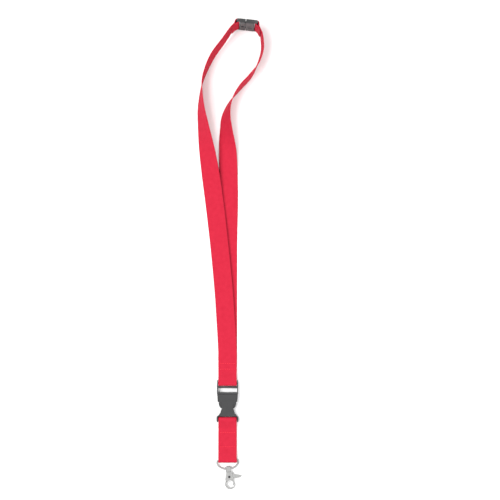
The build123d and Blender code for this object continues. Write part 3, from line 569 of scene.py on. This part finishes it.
def sewnSections(bar, line, outerSide):
    turnRadius = clip["barRadius"] + webbing["foldGap"] + halfThick
    merge, straight = sewnEnd["merge"] * clip["barRadius"], sewnEnd["straight"]
    half = [(sewnEnd["length"], tabStep), (merge, tabStep), (straight, turnRadius), (-turnRadius, turnRadius)]
    tail = [(-turnRadius, -turnRadius), (straight, -turnRadius), (merge, -tabStep)]
    tail.append((sewnEnd["length"] - sewnEnd["tailShort"], -tabStep))
    points = [Vector((x, y * outerSide)) for x, y in half + tail]
    radii = [sewnEnd["mergeRadius"], sewnEnd["leaveRadius"], turnRadius * webbing["bend"]]
    path = rounded(points, radii + radii[::-1])
    found = planeSections(path, bar, line, clipAcross.cross(line), clipAcross)
    for i, thin in enumerate(sewnEnd["thin"], 1):
        found[-i] += (thin,)
    return found


def foldSections():
    # round the buckle's upper bar, from under it to over it
    found = []
    for i in range(webbing["foldPieces"]):
        a = pi * i / webbing["foldPieces"]
        middle = Vector((0, -foldRadius * sin(a), buckleMiddle - foldRadius * cos(a)))
        found.append((middle, Vector((0, -cos(a), sin(a))), sideways))
    return found


def outline():
    # the webbing's section: flat between two rounded, slightly fuller edges
    count, flat = webbing["acrossPieces"], halfWidth - halfThick
    top = [-flat + 2 * flat * i / count for i in range(count + 1)]
    fuller = flat * webbing["selvedgeShare"]
    points = [(x, halfThick - (webbing["selvedge"] if abs(x) < fuller else 0)) for x in top]
    angles = [radians(a) for a in webbing["edgeAngles"]]
    points += [(flat + halfThick * sin(a), halfThick * cos(a)) for a in angles]
    return points + [(-x, -y) for x, y in points]


def sectionMatrix(section):
    middle, line, width = section[:3]
    normal = line.cross(width) * (section[3] if len(section) > 3 else 1)
    at = place(middle)
    return Matrix((
        (width.x, normal.x, line.x, at.x), (width.y, normal.y, line.y, at.y), (width.z, normal.z, line.z, at.z),
        (0, 0, 0, 1),
    ))


def makeWebbing(name, sections, closed=False):
    bm = bmesh.new()
    acrossLayer = bm.verts.layers.float.new("across")
    alongLayer = bm.verts.layers.float.new("along")
    ring = [bm.verts.new((x * mm, y * mm, 0)) for x, y in outline()]
    for vert in ring:
        vert[acrossLayer] = vert.co.x
    first = edges = [bm.edges.new((ring[i - 1], ring[i])) for i in range(len(ring))]
    here = sectionMatrix(sections[0])
    bmesh.ops.transform(bm, matrix=here, verts=ring)
    length = 0
    for before, section in zip(sections, sections[1:]):
        made = bmesh.ops.extrude_edge_only(bm, edges=edges)["geom"]
        ring = {item for item in made if isinstance(item, bmesh.types.BMVert)}
        edges = [item for item in made if isinstance(item, bmesh.types.BMEdge) and set(item.verts) <= ring]
        after = sectionMatrix(section)
        bmesh.ops.transform(bm, matrix=after @ here.inverted(), verts=list(ring))
        here = after
        length += (section[0] - before[0]).length * mm
        for vert in ring:
            vert[alongLayer] = length
    uvLayer = bm.loops.layers.uv.new("webbing")
    for face in bm.faces:
        for loop in face.loops:
            loop[uvLayer].uv = (loop.vert[acrossLayer], loop.vert[alongLayer])
    if closed:
        bmesh.ops.remove_doubles(bm, verts=bm.verts, dist=webbing["merge"] * mm)
    else:
        bmesh.ops.edgeloop_fill(bm, edges=first)
        bmesh.ops.edgeloop_fill(bm, edges=edges)
    bmesh.ops.recalc_face_normals(bm, faces=bm.faces)
    for face in bm.faces:
        face.smooth = True
    return newPiece(name, bm, webbingRed), length


leftOuter = leftLine.cross(clipAcross) * tabStep
rightOuter = clipAcross.cross(rightLine) * tabStep
leftEnd = leftBar + leftLine * sewnEnd["length"] + leftOuter
rightEnd = rightBar + rightLine * (sewnEnd["length"] + sewnEnd["joinGap"]) + rightOuter
leftLeg = legSections(leftKeys, leftEnd, leftLine)
rightLeg = legSections(rightKeys, rightEnd, rightLine)
leftTab = sewnSections(leftBar, leftLine, -1)
rightTab = sewnSections(rightBar, rightLine, 1)

leftWebbing, leftLength = makeWebbing("neckWebbingLeft", foldSections() + leftLeg + leftTab[1:])
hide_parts("neck_strap_left", "neck_strap_fold", "strap_end_left")
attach(leftWebbing, "neck")

rightWebbing, rightLength = makeWebbing("neckWebbingRight", rightLeg + rightTab)
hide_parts("neck_strap_right", "strap_end_right")
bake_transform(rightWebbing)
print("neck webbing made,", round(leftLength + rightLength, 3), "m")

# ---- short strap: a closed loop round the housing's bar and the ring; hookSkew is in degrees ----
shortStrap = {
    "hookSkew": 6.0, "ringWireRadius": 1.0, "ringHeight": 2.5, "lap": 10.0, "lowLap": 11.0, "straight": 1.5,
    "side": 1, "leaveRadius": 3, "mergeRadius": 8,
}


def shortSections():
    upperTurn = buckle["housingBarRadius"] + webbing["foldGap"] + halfThick
    lowerTurn = shortStrap["ringWireRadius"] + webbing["ringFoldGap"] + halfThick
    play = (halfWidth + shortStrap["side"]) * tan(radians(shortStrap["hookSkew"]))
    resting = halfThick + webbing["sewnGap"] / 2
    stacked = resting + webbing["thickness"] + webbing["layerGap"]
    top, low, height = buckle["housingBar"], buckle["ringBar"], shortStrap["ringHeight"]
    upperLap, upperRun = top - shortStrap["lap"], top - shortStrap["straight"]
    lowerLap, lowerRun = low + shortStrap["lowLap"], low + play + shortStrap["straight"]
    bottom = low - play - lowerTurn
    points = [
        (top + upperTurn, buckleMiddle + upperTurn), (upperRun, buckleMiddle + upperTurn), (upperLap, stacked),
        (lowerLap, stacked), (lowerRun, height + lowerTurn), (bottom, height + lowerTurn),
        (bottom, height - lowerTurn), (lowerRun, height - lowerTurn), (lowerLap, resting),
        (upperLap, resting), (upperRun, buckleMiddle - upperTurn), (top + upperTurn, buckleMiddle - upperTurn),
    ]
    leave, merge = shortStrap["leaveRadius"], shortStrap["mergeRadius"]
    radii = [upperTurn * webbing["bend"], leave, merge, merge, leave, lowerTurn * webbing["bend"]]
    path = rounded([Vector(p) for p in points], radii + radii[::-1], closed=True)
    return planeSections(path, origin, upward, outward, sideways, closed=True)


shortRoute = shortSections()
shortWebbing, shortLength = makeWebbing("shortStrap", shortRoute, closed=True)
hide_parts("short_strap")
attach(shortWebbing, "lower_strap")
print("short strap made,", round(shortLength, 3), "m")

# ---- stitching: rows are distances from the upper bar, the breakaway's bars and the short strap's middle ----
stitch = {
    "length": 1.6, "width": 0.45, "height": 0.28, "pitch": 2.4, "count": 7, "aroundPieces": 8, "alongPieces": 6,
    "tackRows": (15.5, 21.5), "endRows": (6.5, 8.9), "shortRows": (-8, 8),
}


def addStitch(bm, section, across, side):
    middle, line, width = section[:3]
    normal = line.cross(width) * side
    at = place(middle + width * across + normal * (halfThick - webbing["selvedge"]))
    turnTo = Matrix((width, line, normal)).transposed().to_4x4()
    size = Matrix.Diagonal((stitch["length"] / 2 * mm, stitch["width"] / 2 * mm, stitch["height"] / 2 * mm, 1))
    bmesh.ops.create_uvsphere(bm, u_segments=stitch["aroundPieces"], v_segments=stitch["alongPieces"], radius=1,
                              matrix=Matrix.Translation(at) @ turnTo @ size)


def makeStitching(name, runs, start, line, rows, node, body):
    # each row is sewn on the section of each run that is closest to its distance along the line
    bm = bmesh.new()
    for row in rows:
        for run, side in runs:
            section = min(run, key=lambda s: abs((s[0] - start).dot(line) - row))
            for i in range(stitch["count"]):
                addStitch(bm, section, (i - (stitch["count"] - 1) / 2) * stitch["pitch"], side)
    for face in bm.faces:
        face.smooth = True
    bmesh.ops.recalc_face_normals(bm, faces=bm.faces)
    piece = newPiece(name, bm, threadRed)
    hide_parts(node)
    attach(piece, body)


def bothLayers(tab):
    half = len(tab) // 2
    return (tab[:half], 1), (tab[half:], 1)


makeStitching("tackStitches", ((leftLeg, -1), (rightLeg, 1)), origin, upward, stitch["tackRows"],
              "neck_stitching", "neck")
makeStitching("leftEndStitches", bothLayers(leftTab), leftBar, leftLine, stitch["endRows"],
              "end_stitching_left", "neck")
makeStitching("rightEndStitches", bothLayers(rightTab), rightBar, rightLine, stitch["endRows"],
              "end_stitching_right", "clip_plug")

shortMiddle = upward * (buckle["housingBar"] + buckle["ringBar"]) / 2
layerTop = webbing["thickness"] + webbing["sewnGap"]
upperRun = [s for s in shortRoute if s[0].z > layerTop]
lowerRun = [s for s in shortRoute if s[0].z <= layerTop]
makeStitching("shortStrapStitches", ((upperRun, 1), (lowerRun, -1)), shortMiddle, upward, stitch["shortRows"],
              "short_strap_stitching", "lower_strap")
print("stitching made")

# ---- floor, light and camera: lengths in metres, power in watts ----
studio = {
    "floor": (0.93, 0.93, 0.93, 1), "floorRoughness": 0.8, "floorSize": 4, "floorHeight": -0.00005,
    "skyTop": (1.0, 1.0, 1.0, 1), "skyEdge": (0.03, 0.03, 0.032, 1), "skyStrength": 0.85,
    "bandLow": 0.08, "bandHigh": 0.60,
    "keyPlace": (-0.80, 0.15, 1.35), "keySize": 1.0, "keyPower": 26,
    "fillPlace": (0.95, -0.55, 0.80), "fillSize": 0.9, "fillPower": 11,
    "cameraHeight": 1.4, "view": 0.5425, "across": 0.02432, "up": 0.14454, "sensor": 36,
}


def makeFloor():
    bm = bmesh.new()
    bmesh.ops.create_grid(bm, x_segments=1, y_segments=1, size=studio["floorSize"])
    bmesh.ops.translate(bm, vec=(0, 0, studio["floorHeight"]), verts=bm.verts)
    look = {"Base Color": studio["floor"], "Roughness": studio["floorRoughness"]}
    newPiece("floor", bm, newMaterial("floor", look)[0])


def makeLight(name):
    # it faces the middle of the lanyard and isn't mirrored in the metal
    lamp = bpy.data.lights.new(name, "AREA")
    lamp.size = studio[name + "Size"]
    lamp.energy = studio[name + "Power"]
    light = bpy.data.objects.new(name, lamp)
    light.location = studio[name + "Place"]
    light.rotation_euler = (-light.location).to_track_quat("-Z", "Y").to_euler()
    light.visible_glossy = False
    bpy.context.scene.collection.objects.link(light)


def makeSky():
    # bright overhead, with a dark band above the horizon that gives the metal its contrast
    world = bpy.data.worlds.new("studio")
    world.use_nodes = True
    tree = world.node_tree
    where = tree.nodes.new("ShaderNodeTexCoord")
    parts = tree.nodes.new("ShaderNodeSeparateXYZ")
    tree.links.new(where.outputs["Generated"], parts.inputs[0])
    band = tree.nodes.new("ShaderNodeMapRange")
    band.interpolation_type = "SMOOTHSTEP"
    band.inputs["From Min"].default_value = studio["bandLow"]
    band.inputs["From Max"].default_value = studio["bandHigh"]
    tree.links.new(parts.outputs[2], band.inputs["Value"])
    sky = mixColour(tree, band.outputs[0], studio["skyEdge"], studio["skyTop"])
    tree.links.new(sky, tree.nodes["Background"].inputs["Color"])
    tree.nodes["Background"].inputs["Strength"].default_value = studio["skyStrength"]
    bpy.context.scene.world = world


def makeCamera():
    # it looks straight down, and view is the width that it sees at the surface
    lens = bpy.data.cameras.new("camera")
    lens.sensor_width = studio["sensor"]
    lens.lens = lens.sensor_width * studio["cameraHeight"] / studio["view"]
    camera = bpy.data.objects.new("camera", lens)
    camera.location = (axisX + studio["across"], barY + studio["up"], studio["cameraHeight"])
    bpy.context.scene.collection.objects.link(camera)
    bpy.context.scene.camera = camera


makeFloor()
makeLight("key")
makeLight("fill")
makeSky()
makeCamera()
bpy.context.scene.view_settings.view_transform = "Standard"
print("studio made")
